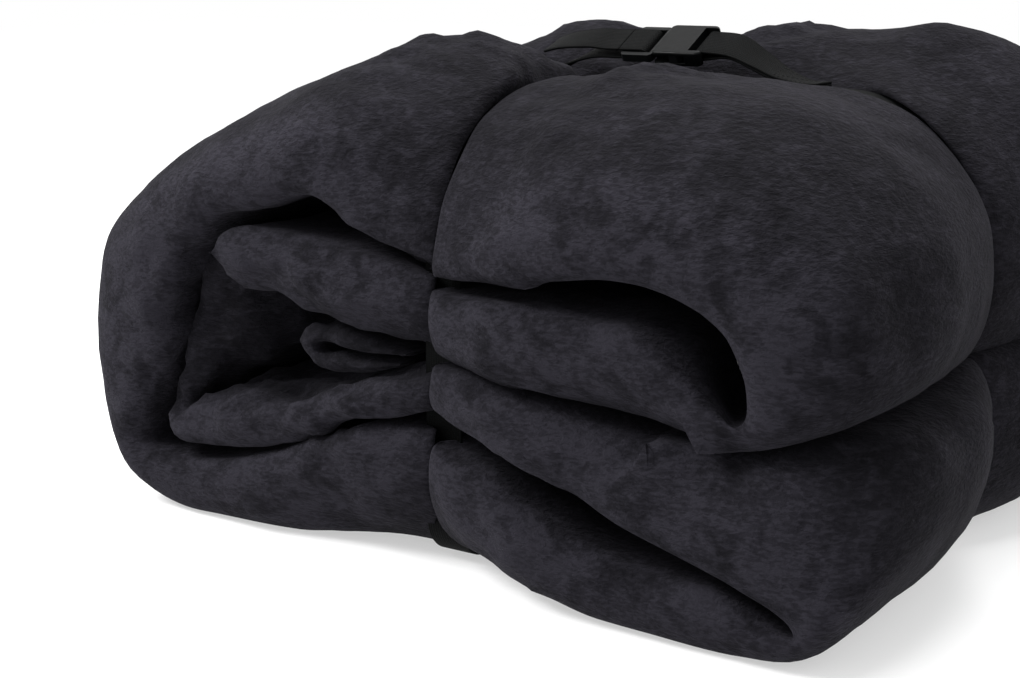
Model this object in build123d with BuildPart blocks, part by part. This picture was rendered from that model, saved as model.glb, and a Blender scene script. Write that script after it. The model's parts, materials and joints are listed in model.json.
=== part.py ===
from build123d import *
from math import cos, radians, sin
import os

os.makedirs("parts", exist_ok=True)

# Infrared sauna blanket, folded into a bundle and tied crosswise by two webbing straps.
# Millimetres. X runs across the end where the folds show, Y along the folds, Z up, and the
# bundle stands on Z = 0. The long strap lies in the plane X = 0, the cross strap in Y = 0.

# Bundle
half_width = 283.0
half_depth = 240.0
corner_radius = 50.0
crown_height = 300.0
fold_crease_height = 130.0
trim = 3.0                   # outlines run this far past the flat sides that trim them

# Waists that the straps pull into the bundle
floor_half = 19.0            # flat valley floor, each side of a strap's centre line
flank_reach = 75.0           # where a valley's flank meets the full lobe
waist_growth = 56.0          # how far the waist opens out over its flank
long_waist_half = 196.0
long_waist_top = 262.0
long_waist_bottom = 4.2
long_shoulder = 95.0
cross_waist_left = -243.0
cross_waist_right = 228.0
cross_waist_top = 264.5
cross_waist_bottom = 2.2
cross_shoulder = 80.0
foot_radius = 22.0

# Layers inside the folded sheet, as half thicknesses from its middle
felt_half = 7.5
film_half = 5.6
heater_half = 5.2
lining_half = 4.0
bus_half = 4.4
slit_half = 0.4
core_half_depth = 165.0
bus_width = 8.0
bus_end_gap = 15.0

# Safety parts, bedded on the top fold's heating layers: centres in X and Y
sensor_bed = 222.0 + felt_half
thermostat_spots = [(-120, -80), (-120, 80), (110, 80)]
thermostat_radius = 7.5
thermostat_height = 4.5
fuse_spot = (60, -80)
fuse_radius = 2.0
fuse_length = 14.0
sensor_spot = (-60, -80)
sensor_radius = 1.8
sensor_length = 9.0
pocket_gap = 0.1
wire_radius = 1.1
wire_offset = 4.2

# Neck flap, folded loose in the front end's cavity
flap_back = 20.0
flap_length = 185.0
flap_edge = 2.5

# Webbing
webbing_width = 25.0
webbing_thickness = 1.6
webbing_gap = 0.1
webbing_opening = 96.0       # stretch of the long loop that its buckle stands in
cross_opening = 156.0        # the same on the cross loop

# Side release buckle, measured along the strap from the plug's shoulder
buckle_width = 34.0
socket_mouth = 0.3
socket_length = 34.0
socket_thickness = 10.0
socket_edge = 1.6
socket_cavity_length = 23.0
socket_cavity_width = 29.0
socket_cavity_height = 6.0
socket_window_length = 9.4
socket_window_inset = 4.5
socket_bar = socket_mouth + socket_length - 3.3
plug_length = 22.0
plug_thickness = 5.0
plug_window_length = 20.8
plug_window_centre = -12.6
rim_length = 3.4
rim_thickness = 3.6
guide_length = 19.0
guide_width = 6.0
guide_centre = 9.4
plug_bar = -9.0
strap_leaves = -plug_length - 2.0
bar_radius = 2.0
bar_overlap = 1.5
wrap_length = 20.0
prong_height = 4.6
prong_clearance = 0.3
prong_length = 20.0
prong_inner = 8.5
prong_outer = 11.5
prong_root = 1.6
pad_start = 10.0
pad_full = 12.5
pad_end = 18.0
pad_reach = 16.8
tip_reach = 14.0

# Where the two buckles lie
buckle_tilt = 28.0
buckle_height = 289.0
buckle_start = 27.0
long_buckle_height = 100.0
long_buckle_stand_off = 7.5

# Long strap's tail, flat against its strap between these heights, and the keeper round it
tail_flat = 152.5
tail_end = 174.0
keeper_width = 28.0
keeper_depth = 3.4
keeper_wall = 1.1
keeper_length = 8.0
keeper_height = 156.0

# Power inlet at the back end of the folded sheet
inlet_x = -100.0
inlet_z = 159.0
inlet_width = 30.0
inlet_height = 14.0
inlet_corner = 3.0
inlet_depth = 26.0
inlet_face = 226.0
cavity_width = 24.0
cavity_height = 9.0
cavity_depth = 18.0
flange_margin_x = 9.0
flange_margin_z = 6.0
flange_depth = 1.5
rivet_spacing = 32.0
rivet_radius = 1.0
rivet_head_radius = 2.0
rivet_head_height = 0.8
pin_count = 3
pin_radius = 1.2
pin_spacing = 7.0
pin_length = 10.0
past_surface = 5.0           # how far cutting shapes run past what they cut

# Lines that part the folded sheet into panels, each as (X, lowest Z, highest Z), where a patch
# round the inlet is parted off, and a point inside each panel
parting_width = 0.3
parting_lines = [
    (-60, 122, 190), (187, 111.5, 150), (187, 165, 310), (-150, 192, 310), (-185, -5, 41),
    (172, -5, 39.5), (172, 42, 110.5),
]
patch_start = 188.0
patch_outline = [
    (-158, 186), (-160, 168), (-137, 147), (-122, 144), (-88, 134), (-60, 130), (-60, 180),
    (-95, 190),
]
panel_spots = {
    "plush_inlet_patch": (-75, 232, 160),
    "plush_end_panel": (-100, 180, 171),
    "plush_upper_inner_panel": (90, 180, 158),
    "plush_upper_right_panel": (260, 120, 180),
    "plush_top_panel": (90, 120, 275),
    "plush_left_panel": (-262, 120, 130),
    "plush_bottom_panel": (90, 120, 4),
    "plush_lower_right_panel": (262, 120, 60),
    "plush_lower_inner_panel": (90, 180, 108),
}

# Middle line of the folded sheet's core, from its inner end round to its other end
core_route = [
    (-128, 165), (-60, 153), (0, 143), (70, 141), (140, 122), (210, 122), (210, 222),
    (-226, 222), (-226, 21), (215, 21), (215, 82), (110, 90), (0, 105), (-100, 76),
    (-190, 64), (-172, 165),
]
core_radii = [60, 60, 60, 50, 49, 49, 100, 60, 30, 30, 60, 80, 60, 25]


def save(builder, name):
    builder.part.label = name
    export_step(builder.part, f"parts/{name}.step")


# ---------------------------------------------------------------- bundle outline

def pillow():
    """Whole bundle before the straps draw it in: three outlines crossed."""
    side = half_width + trim
    end = half_depth + trim
    with BuildPart() as body:
        with BuildSketch(Plane.XZ):
            with BuildLine():
                Line((-205, 0), (208, 0))
                ThreePointArc((208, 0), (side, 72), (264, fold_crease_height))
                ThreePointArc((264, fold_crease_height), (side, 185), (228, 258))
                ThreePointArc((228, 258), (120, 294), (0, crown_height))
                ThreePointArc((0, crown_height), (-130, 292), (-225, 250))
                ThreePointArc((-225, 250), (-side, 135), (-205, 0))
            make_face()
        extrude(amount=half_depth + past_surface, both=True)
        with BuildSketch(Plane.YZ):
            with BuildLine():
                Line((-205, 0), (205, 0))
                ThreePointArc((205, 0), (235, 13), (end, 45))
                Line((end, 45), (end, 185))
                ThreePointArc((end, 185), (190, 266), (105, 297))
                ThreePointArc((105, 297), (0, crown_height + trim), (-105, 297))
                ThreePointArc((-105, 297), (-190, 266), (-end, 185))
                Line((-end, 185), (-end, 45))
                ThreePointArc((-end, 45), (-235, 13), (-205, 0))
            make_face()
        extrude(amount=half_width + past_surface, both=True, mode=Mode.INTERSECT)
        with BuildSketch():
            RectangleRounded(2 * half_width, 2 * half_depth, corner_radius)
        extrude(amount=crown_height, mode=Mode.INTERSECT)
    return body.part


def waist_loop(low, high, bottom, top, shoulder, foot):
    """Closed loop with round shoulders at the top and tighter corners at the foot."""
    with BuildLine() as loop:
        Line((low, bottom + foot), (low, top - shoulder))
        RadiusArc((low, top - shoulder), (low + shoulder, top), shoulder)
        Line((low + shoulder, top), (high - shoulder, top))
        RadiusArc((high - shoulder, top), (high, top - shoulder), shoulder)
        Line((high, top - shoulder), (high, bottom + foot))
        RadiusArc((high, bottom + foot), (high - foot, bottom), foot)
        Line((high - foot, bottom), (low + foot, bottom))
        RadiusArc((low + foot, bottom), (low, bottom + foot), foot)
    return loop.line


def long_loop(grow=0.0):
    reach = long_waist_half + grow
    bottom = long_waist_bottom - grow
    top = long_waist_top + grow
    return waist_loop(-reach, reach, bottom, top, long_shoulder + grow, foot_radius + grow)


def cross_loop(grow=0.0):
    left = cross_waist_left - grow
    right = cross_waist_right + grow
    bottom = cross_waist_bottom - grow
    top = cross_waist_top + grow
    return waist_loop(left, right, bottom, top, cross_shoulder + grow, foot_radius + grow)


def waist_flank(plane, loop, reach):
    """One side of a waist: opens out from the valley floor, then runs on at full size."""
    with BuildPart() as flank:
        with BuildSketch(plane.offset(floor_half)):
            add(loop())
            make_face()
        with BuildSketch(plane.offset(flank_reach)):
            add(loop(waist_growth))
            make_face()
        loft()
        with BuildSketch(plane.offset(flank_reach)):
            add(loop(waist_growth))
            make_face()
        extrude(amount=reach - flank_reach)
    return flank.part


def waist(plane, loop, reach):
    """Space that one strap leaves the bundle: a tight slab that opens out on both sides."""
    flank = waist_flank(plane, loop, reach)
    with BuildPart() as room:
        with BuildSketch(plane):
            add(loop())
            make_face()
        extrude(amount=floor_half, both=True)
        add(flank)
        mirror(flank, about=plane)
    return room.part


# ---------------------------------------------------------------- folds

def open_fold(corners, radius):
    """Gap between folds that stands open, as a rounded polygon in the XZ plane."""
    with BuildPart() as gap:
        with BuildSketch(Plane.XZ) as mouth:
            with BuildLine():
                Polyline(*corners, close=True)
            make_face()
            fillet(mouth.vertices(), radius)
        extrude(amount=half_depth + past_surface, both=True)
    return gap.part


def band(route, radii, reach, front, back):
    """Everything within reach of a route in the XZ plane, from front to back."""
    with BuildPart() as strip:
        with BuildSketch(Plane.XZ.offset(-back)):
            with BuildLine():
                FilletPolyline(*route, radius=radii)
                offset(amount=reach, side=Side.BOTH, mode=Mode.REPLACE)
            make_face()
        extrude(amount=front + back)
    return strip.part


def closed_fold(route, radii, width):
    """Narrow gap along a route where two folds lie against each other."""
    end = half_depth + past_surface
    return band(route, radii, width / 2, end, end)


def core_band(reach, front=core_half_depth):
    return band(core_route, core_radii, reach, front, core_half_depth)


def sleeve(outer, inner):
    """Layer doubled round the front fold and round both ends, and open at the back."""
    with BuildPart() as layer:
        add(core_band(outer, core_half_depth - felt_half + outer))
        add(core_band(inner, core_half_depth - felt_half + inner), mode=Mode.SUBTRACT)
    return layer


def bundle():
    """Outline of the strapped bundle with every fold's gap cut through it."""
    with BuildPart() as body:
        add(pillow())
        add(waist(Plane.YZ, long_loop, half_width + past_surface), mode=Mode.INTERSECT)
        add(waist(Plane.XZ, cross_loop, half_depth + past_surface), mode=Mode.INTERSECT)
        # upper loop: open at the right, pinched at X = 0, open again over the inner end
        add(open_fold(
            [(196, 152), (186, 173), (150, 187), (95, 184), (12, 168.5), (-40, 190),
             (-95, 207), (-158, 195), (-163, 181), (-152, 180), (-80, 183), (-35, 173),
             (12, 164), (60, 163), (120, 163.5), (160, 148), (178, 134)], 1.5),
            mode=Mode.SUBTRACT)
        # cavity on the left, where the sheet's two ends meet the neck flap
        add(open_fold(
            [(4, 122.5), (-15, 126), (-49, 131), (-88, 137), (-123, 147), (-139, 149),
             (-138, 112), (-160, 94), (-130, 93), (-76, 97), (-40, 109), (4, 119)], 1.2),
            mode=Mode.SUBTRACT)
        # lower loop
        add(open_fold(
            [(184, 40), (158, 48), (131, 57), (98, 71), (39, 81), (-6, 92), (-6, 88),
             (4, 79), (53, 62), (103, 44), (131, 38), (159, 35)], 1.2),
            mode=Mode.SUBTRACT)
        # crease between the two loops, open to the right
        add(closed_fold(
            [(300, 128), (225, 114), (150, 109), (60, 119), (2, 121)], [80, 80, 80], 2.0),
            mode=Mode.SUBTRACT)
        # past the inner end, from the upper gap down into the cavity
        add(closed_fold([(-158, 186), (-160, 168), (-137, 147)], [12], 3.0), mode=Mode.SUBTRACT)
        # round the other end, between it and the outer fold, to the lower loop
        add(closed_fold(
            [(-158, 190), (-182, 172), (-204, 138), (-210, 105), (-208, 74), (-196, 42),
             (-160, 37), (-128, 49), (-86, 66), (-50, 81), (-4, 90)],
            [20, 40, 40, 30, 20, 25, 25, 40, 60], 3.0), mode=Mode.SUBTRACT)
    return body.part


# ---------------------------------------------------------------- heating parts

def pucks(radius, height):
    """Round thermostats lying on the heating layers under the top of the bundle."""
    with BuildPart() as discs:
        for spot in thermostat_spots:
            with BuildSketch(Plane.XY.offset(sensor_bed)):
                with Locations(spot):
                    Circle(radius)
            extrude(amount=height)
    return discs


def capsule(spot, radius, length):
    """Small round body lying along X on the heating layers."""
    centre = (spot[0] - length / 2, spot[1], sensor_bed + radius + pocket_gap)
    with BuildPart() as body:
        with BuildSketch(Plane(origin=centre, x_dir=(0, 1, 0), z_dir=(1, 0, 0))):
            Circle(radius)
        extrude(amount=length)
    return body


def wires(radius):
    """Two power wires from the inlet to the heater's bus bars."""
    with BuildPart() as run:
        with BuildSketch(Plane.XZ.offset(-core_half_depth)):
            with Locations((inlet_x, inlet_z - wire_offset), (inlet_x, inlet_z + wire_offset)):
                Circle(radius)
        extrude(amount=-(inlet_face - inlet_depth - core_half_depth))
    return run


def block(width, height, front, back, corner=inlet_corner):
    """Rounded block centred on the inlet, between two depths along Y."""
    with BuildPart() as body:
        with BuildSketch(Plane.XZ.offset(-back)):
            with Locations((inlet_x, inlet_z)):
                RectangleRounded(width, height, corner)
        extrude(amount=back - front)
    return body.part


def studs(radius, front, back):
    """Two discs, one at each end of the inlet's flange, between two depths along Y."""
    with BuildPart() as pair:
        with BuildSketch(Plane.XZ.offset(-back)):
            with Locations((inlet_x, inlet_z)):
                with GridLocations(rivet_spacing, 1, 2, 1):
                    Circle(radius)
        extrude(amount=back - front)
    return pair.part


def inner_layers():
    save(sleeve(felt_half, film_half), "insulation_felt")
    save(sleeve(film_half, heater_half), "reflective_film")
    save(sleeve(heater_half, bus_half), "heater_sheet")
    save(sleeve(lining_half, slit_half), "inner_lining")
    # one strip down each open edge of the heater, kept apart at the sheet's two ends
    start = bus_width - core_half_depth
    with BuildPart() as bus_bars:
        add(band(core_route, core_radii, bus_half, start, core_half_depth))
        add(band(core_route, core_radii, lining_half, start, core_half_depth),
            mode=Mode.SUBTRACT)
        with BuildSketch(Plane.XZ.offset(-half_depth)):
            with Locations(core_route[0], core_route[-1]):
                Circle(bus_end_gap)
        extrude(amount=half_depth, mode=Mode.SUBTRACT)
    save(bus_bars, "heater_bus_bars")


def safety_parts():
    save(pucks(thermostat_radius, thermostat_height), "overheat_thermostats")
    save(capsule(fuse_spot, fuse_radius, fuse_length), "thermal_fuse")
    save(capsule(sensor_spot, sensor_radius, sensor_length), "temperature_sensor")
    save(wires(wire_radius), "power_wires")


def power_inlet():
    floor = inlet_face - cavity_depth
    outside = inlet_face + flange_depth
    cavity = block(cavity_width, cavity_height, floor, outside + past_surface)
    with BuildPart() as housing:
        add(block(inlet_width, inlet_height, inlet_face - inlet_depth, inlet_face))
        add(cavity, mode=Mode.SUBTRACT)
    save(housing, "inlet_housing")
    with BuildPart() as flange:
        add(block(inlet_width + flange_margin_x, inlet_height + flange_margin_z, inlet_face,
                  outside))
        add(cavity, mode=Mode.SUBTRACT)
        add(studs(rivet_radius, inlet_face, outside), mode=Mode.SUBTRACT)
    save(flange, "inlet_flange")
    with BuildPart() as pins:
        with BuildSketch(Plane.XZ.offset(-floor - pin_length)):
            with Locations((inlet_x, inlet_z)):
                with GridLocations(pin_spacing, 1, pin_count, 1):
                    Circle(pin_radius)
        extrude(amount=pin_length)
    save(pins, "inlet_pins")
    with BuildPart() as rivets:
        add(studs(rivet_radius, inlet_face, outside))
        add(studs(rivet_head_radius, outside, outside + rivet_head_height))
    save(rivets, "inlet_rivets")


# ---------------------------------------------------------------- plush pieces

def parting_slots():
    """Thin slots through the sheet, from face to face, between its panels."""
    with BuildPart() as slots:
        with BuildSketch(Plane.XZ):
            for x, low, high in parting_lines:
                with Locations((x, (low + high) / 2)):
                    Rectangle(parting_width, high - low)
        extrude(amount=half_depth + past_surface, both=True)
        with BuildSketch(Plane.XZ.offset(-patch_start)):
            with BuildLine():
                Polyline(*patch_outline, close=True)
            make_face()
        extrude(amount=parting_width)
    return slots.part


def plush_cover():
    """The whole cover, parted into its panels, with room for what it holds."""
    with BuildPart() as cover:
        add(bundle())
        add(parting_slots(), mode=Mode.SUBTRACT)
        add(core_band(felt_half), mode=Mode.SUBTRACT)
        for pocket in (
                pucks(thermostat_radius + pocket_gap, thermostat_height + pocket_gap),
                capsule(fuse_spot, fuse_radius + pocket_gap, fuse_length + 2 * pocket_gap),
                capsule(sensor_spot, sensor_radius + pocket_gap,
                        sensor_length + 2 * pocket_gap)):
            add(pocket.part, mode=Mode.SUBTRACT)
        add(wires(wire_radius).part, mode=Mode.SUBTRACT)
        add(block(inlet_width, inlet_height, inlet_face - inlet_depth, inlet_face),
            mode=Mode.SUBTRACT)
        add(block(inlet_width + flange_margin_x, inlet_height + flange_margin_z, inlet_face,
                  half_depth + past_surface), mode=Mode.SUBTRACT)
    return cover.part


def plush_pieces():
    solids = plush_cover().solids()
    for name, spot in panel_spots.items():
        with BuildPart() as panel:
            for solid in solids.filter_by(lambda piece: piece.is_inside(spot)):
                add(solid)
        save(panel, name)
    with BuildPart() as neck_flap:
        with BuildSketch(Plane.XZ.offset(flap_back)) as fold:
            with BuildLine():
                Polyline((-26, 116), (-26, 122), (-52, 126), (-84, 131), (-97, 124),
                         (-84, 107), (-50, 110), close=True)
            make_face()
            fillet(fold.vertices(), flap_edge)
        extrude(amount=flap_length)
    save(neck_flap, "neck_flap")


# ---------------------------------------------------------------- buckles

def socket(place):
    """Female half. Its side slots run out of its mouth, so that the prongs pass freely."""
    rear = socket_mouth + socket_length
    cavity_centre = socket_mouth + socket_cavity_length / 2
    with BuildPart() as shell:
        with BuildSketch(place):
            with Locations((rear - socket_length / 2, 0)):
                RectangleRounded(socket_length, buckle_width, 2 * bar_radius)
        extrude(amount=socket_thickness / 2, both=True)
        flats = shell.faces().filter_by(place)
        fillet(flats.edges(), socket_edge)
        with BuildSketch(place):
            with Locations((cavity_centre, 0)):
                Rectangle(socket_cavity_length, socket_cavity_width)
        extrude(amount=socket_cavity_height / 2, both=True, mode=Mode.SUBTRACT)
        with BuildSketch(place):
            with Locations((cavity_centre, 0)):
                Rectangle(socket_cavity_length, buckle_width + past_surface)
        extrude(amount=prong_height / 2 + prong_clearance, both=True, mode=Mode.SUBTRACT)
        with BuildSketch(place):
            with Locations((rear - socket_window_inset, 0)):
                Rectangle(socket_window_length, webbing_width + 2)
        extrude(amount=socket_thickness, both=True, mode=Mode.SUBTRACT)
        add(cross_bar(place, socket_bar))
    return shell


def cross_bar(place, along):
    """Round bar across a buckle half, that webbing goes round."""
    side = place.y_dir
    half = webbing_width / 2 + bar_overlap
    start = place.origin + place.x_dir * along - side * half
    with BuildPart() as bar:
        with BuildSketch(Plane(origin=start, x_dir=place.x_dir, z_dir=side)):
            Circle(bar_radius)
        extrude(amount=2 * half)
    return bar.part


def plug(place):
    """Male half: side rails, rear rim, round bar and the guide between the prongs."""
    window_width = webbing_width + 2
    with BuildPart() as frame:
        with BuildSketch(place):
            with Locations((-plug_length / 2, 0)):
                RectangleRounded(plug_length, buckle_width, 3)
            with Locations((plug_window_centre, 0)):
                Rectangle(plug_window_length, window_width, mode=Mode.SUBTRACT)
        extrude(amount=plug_thickness / 2, both=True)
        with BuildSketch(place):
            with Locations((rim_length / 2 - plug_length, 0)):
                Rectangle(rim_length, window_width)
        extrude(amount=rim_thickness / 2, both=True)
        with BuildSketch(place):
            with Locations((guide_centre, 0)):
                RectangleRounded(guide_length, guide_width, 1.2)
        extrude(amount=prong_height / 2, both=True)
        add(cross_bar(place, plug_bar))
    return frame


def prong(place, side):
    """One sprung arm, with a finger pad that shows through the socket's side slot."""
    outline = [
        (prong_root, prong_inner), (prong_length, prong_inner), (prong_length, tip_reach),
        (pad_end, pad_reach), (pad_full, pad_reach), (pad_start, prong_outer),
        (prong_root, prong_outer),
    ]
    ends = [(along, side * across) for along, across in outline]
    middle = (prong_inner + prong_outer) / 2
    with BuildPart() as arm:
        with BuildSketch(place):
            with BuildLine():
                Polyline(*ends)
                ThreePointArc(ends[-1], (prong_root - 1.5, side * middle), ends[0])
            make_face()
        extrude(amount=prong_height / 2, both=True)
    return arm


# ---------------------------------------------------------------- webbing

def webbing_ramp(stations, thickness):
    """Strip of webbing through stations of (plane, height above it), twisting as it goes."""
    with BuildPart() as strip:
        for plane in stations:
            with BuildSketch(plane):
                Rectangle(webbing_width, thickness)
        loft()
    return strip.part


def cross_station(x, z, tilt, lift=0.0):
    """Plane across the cross strap at x, leaning towards the front by tilt degrees."""
    lean = radians(tilt)
    up = Vector(0, -sin(lean), cos(lean))
    origin = Vector(x, 0, z) + up * lift
    return Plane(origin=origin, x_dir=(0, cos(lean), sin(lean)), z_dir=(1, 0, 0))


def bar_wrap(place, along, direction):
    """Webbing round a bar: two layers that close up towards direction along the strap."""
    outer = bar_radius + webbing_gap + webbing_thickness
    inner = bar_radius + webbing_gap
    across = Plane(origin=place.origin, x_dir=place.x_dir, z_dir=-place.y_dir)
    close = along + direction * wrap_length
    with BuildPart() as wrap:
        with BuildSketch(across) as section:
            with BuildLine():
                CenterArc((along, 0), outer, 90 * direction, 180)
                Line((along, outer), (close, webbing_thickness))
                Line((close, webbing_thickness), (close, -webbing_thickness))
                Line((close, -webbing_thickness), (along, -outer))
            make_face()
            with BuildLine():
                CenterArc((along, 0), inner, 90 * direction, 180)
                Line((along, inner), (close - direction * 2, 0))
                Line((close - direction * 2, 0), (along, -inner))
            make_face(mode=Mode.SUBTRACT)
        extrude(amount=webbing_width / 2, both=True)
    return wrap.part


def bar_turn(place, along, rear):
    """Webbing that passes under the rear rim, round the bar and back over the rim."""
    outer = bar_radius + webbing_gap + webbing_thickness
    inner = bar_radius + webbing_gap
    across = Plane(origin=place.origin, x_dir=place.x_dir, z_dir=-place.y_dir)
    with BuildPart() as turn:
        with BuildSketch(across):
            with BuildLine():
                CenterArc((along, 0), outer, -90, 180)
                Line((along, outer), (rear, outer))
                Line((rear, outer), (rear, inner))
                Line((rear, inner), (along, inner))
                CenterArc((along, 0), inner, -90, 180)
                Line((along, -inner), (rear, -inner))
                Line((rear, -inner), (rear, -outer))
                Line((rear, -outer), (along, -outer))
            make_face()
        extrude(amount=webbing_width / 2, both=True)
    return turn.part


def strap_ring(plane, loop):
    """Webbing loop lying on the valley floor that its waist leaves."""
    with BuildPart() as ring:
        with BuildSketch(plane):
            add(loop(webbing_gap + webbing_thickness))
            make_face()
            add(loop(webbing_gap))
            make_face(mode=Mode.SUBTRACT)
        extrude(amount=webbing_width / 2, both=True)
    return ring.part


def strand_planes(route):
    """Planes across the long strap, from (Y, Z) points up its back run."""
    planes = []
    for y, z in route:
        planes.append(Plane(origin=(0, y, z), x_dir=(1, 0, 0), z_dir=(0, 0, 1)))
    return planes


def buckle(place, name):
    save(socket(place), f"{name}_socket")
    save(plug(place), f"{name}_plug")
    save(prong(place, 1), f"{name}_prong_left")
    save(prong(place, -1), f"{name}_prong_right")


# How far the middle of a strand stands from a bar's centre, and from the valley floor
strand = bar_radius + webbing_gap + webbing_thickness / 2
ring_middle = webbing_gap + webbing_thickness / 2


def cross_strap_pieces():
    """Cross strap: arches up off the valley floor into the plug, and turns back over it."""
    lean = radians(buckle_tilt)
    place = Plane(origin=(buckle_start, 0, buckle_height), x_dir=(1, 0, 0),
                  z_dir=(0, -sin(lean), cos(lean)))
    buckle(place, "cross")
    floor = cross_waist_top + ring_middle
    leaves = buckle_start + strap_leaves
    with BuildPart() as cross_strap:
        add(strap_ring(Plane.XZ, cross_loop))
        with BuildSketch(Plane.XY.offset(cross_waist_top - past_surface)):
            with Locations((6, 0)):
                Rectangle(cross_opening, 2 * webbing_width)
        extrude(amount=4 * past_surface, mode=Mode.SUBTRACT)
        add(webbing_ramp([
            cross_station(leaves, buckle_height, buckle_tilt, -strand),
            cross_station(-18, 284.5, 20), cross_station(-38, 277, 10),
            cross_station(-56, 269, 2), cross_station(-68, floor + 0.2, 0),
            cross_station(-74, floor, 0)], webbing_thickness))
        add(bar_turn(place, plug_bar, strap_leaves))
    save(cross_strap, "cross_strap")
    with BuildPart() as cross_strap_tail:
        add(webbing_ramp([
            cross_station(leaves - 1.2, buckle_height, buckle_tilt, strand),
            cross_station(-22, 292, 26), cross_station(-42, 290, 22),
            cross_station(-54, 287, 20)], webbing_thickness))
    save(cross_strap_tail, "cross_strap_tail")
    # two layers of webbing, sewn together, lie on the loop's own layer
    over = cross_waist_top + 2 * webbing_thickness + 0.7
    wrapped = buckle_start + socket_bar + wrap_length
    with BuildPart() as cross_socket_webbing:
        add(bar_wrap(place, socket_bar, 1))
        add(webbing_ramp([
            cross_station(wrapped, buckle_height, buckle_tilt),
            cross_station(94, 281.5, 17), cross_station(109, 273.5, 7),
            cross_station(124, over + 0.4, 0), cross_station(136, over, 0)],
            2 * webbing_thickness))
    save(cross_socket_webbing, "cross_socket_webbing")


def long_strap_pieces():
    """Long strap: its buckle lies down the middle of the back end."""
    depth = long_waist_half + long_buckle_stand_off
    place = Plane(origin=(0, depth, long_buckle_height), x_dir=(0, 0, -1), z_dir=(0, 1, 0))
    buckle(place, "long")
    face = long_waist_half + ring_middle
    doubled = face + webbing_thickness + 0.9
    leaves = long_buckle_height - strap_leaves
    with BuildPart() as long_strap:
        add(strap_ring(Plane.YZ, long_loop))
        with BuildSketch(Plane.XZ.offset(past_surface - long_waist_half)):
            with Locations((0, long_buckle_height)):
                Rectangle(2 * webbing_width, webbing_opening)
        extrude(amount=-4 * past_surface, mode=Mode.SUBTRACT)
        add(webbing_ramp(strand_planes(
            [(depth - strand, leaves), (199.6, 131), (197.3, 141), (face, 147), (face, 150)]),
            webbing_thickness))
        add(webbing_ramp(strand_planes(
            [(depth + strand, leaves), (204.6, 134), (200.9, 144), (doubled, tail_flat)]),
            webbing_thickness))
        with BuildSketch(strand_planes([(doubled, tail_flat)])[0]):
            Rectangle(webbing_width, webbing_thickness)
        extrude(amount=tail_end - tail_flat)
        add(bar_turn(place, plug_bar, strap_leaves))
    save(long_strap, "long_strap")
    with BuildPart() as long_socket_webbing:
        add(bar_wrap(place, socket_bar, 1))
        add(webbing_ramp(strand_planes(
            [(depth, long_buckle_height - socket_bar - wrap_length), (201.8, 42),
             (199.9, 36), (199.9, 32)]), 2 * webbing_thickness))
    save(long_socket_webbing, "long_socket_webbing")
    with BuildPart() as long_keeper:
        with BuildSketch(Plane.XY.offset(keeper_height)):
            with Locations((0, 199.5)):
                Rectangle(keeper_width, keeper_depth)
                Rectangle(keeper_width - 2 * keeper_wall, keeper_depth - 1.2,
                          mode=Mode.SUBTRACT)
        extrude(amount=keeper_length)
    save(long_keeper, "long_keeper")


plush_pieces()
inner_layers()
safety_parts()
power_inlet()
cross_strap_pieces()
long_strap_pieces()
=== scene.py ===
import json
import math

import bpy
import numpy as np
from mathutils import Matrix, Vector, noise


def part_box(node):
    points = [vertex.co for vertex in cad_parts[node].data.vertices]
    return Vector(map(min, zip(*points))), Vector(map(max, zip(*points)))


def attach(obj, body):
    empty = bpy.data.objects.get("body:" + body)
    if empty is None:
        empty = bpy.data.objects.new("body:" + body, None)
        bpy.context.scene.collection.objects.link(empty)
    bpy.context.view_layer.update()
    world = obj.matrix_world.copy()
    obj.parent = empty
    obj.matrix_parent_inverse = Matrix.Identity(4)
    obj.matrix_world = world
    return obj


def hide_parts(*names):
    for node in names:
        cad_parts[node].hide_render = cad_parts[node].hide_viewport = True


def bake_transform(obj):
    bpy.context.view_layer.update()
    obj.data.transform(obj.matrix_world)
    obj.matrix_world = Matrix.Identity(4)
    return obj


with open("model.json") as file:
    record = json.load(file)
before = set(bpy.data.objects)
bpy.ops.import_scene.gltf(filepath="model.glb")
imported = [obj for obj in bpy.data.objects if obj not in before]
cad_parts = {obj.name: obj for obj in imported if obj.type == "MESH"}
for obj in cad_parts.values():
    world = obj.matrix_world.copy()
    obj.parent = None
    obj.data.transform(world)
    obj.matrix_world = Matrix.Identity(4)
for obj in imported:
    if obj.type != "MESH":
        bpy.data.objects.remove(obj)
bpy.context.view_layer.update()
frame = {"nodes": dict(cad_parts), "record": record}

# Lengths in this script are millimetres, and MM takes them to Blender's metres.
# X runs across the end where the folds show, Y along the folds, Z up.
MM = 0.001

# ---------------------------------------------------------------- the folded sheet's shape

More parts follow.
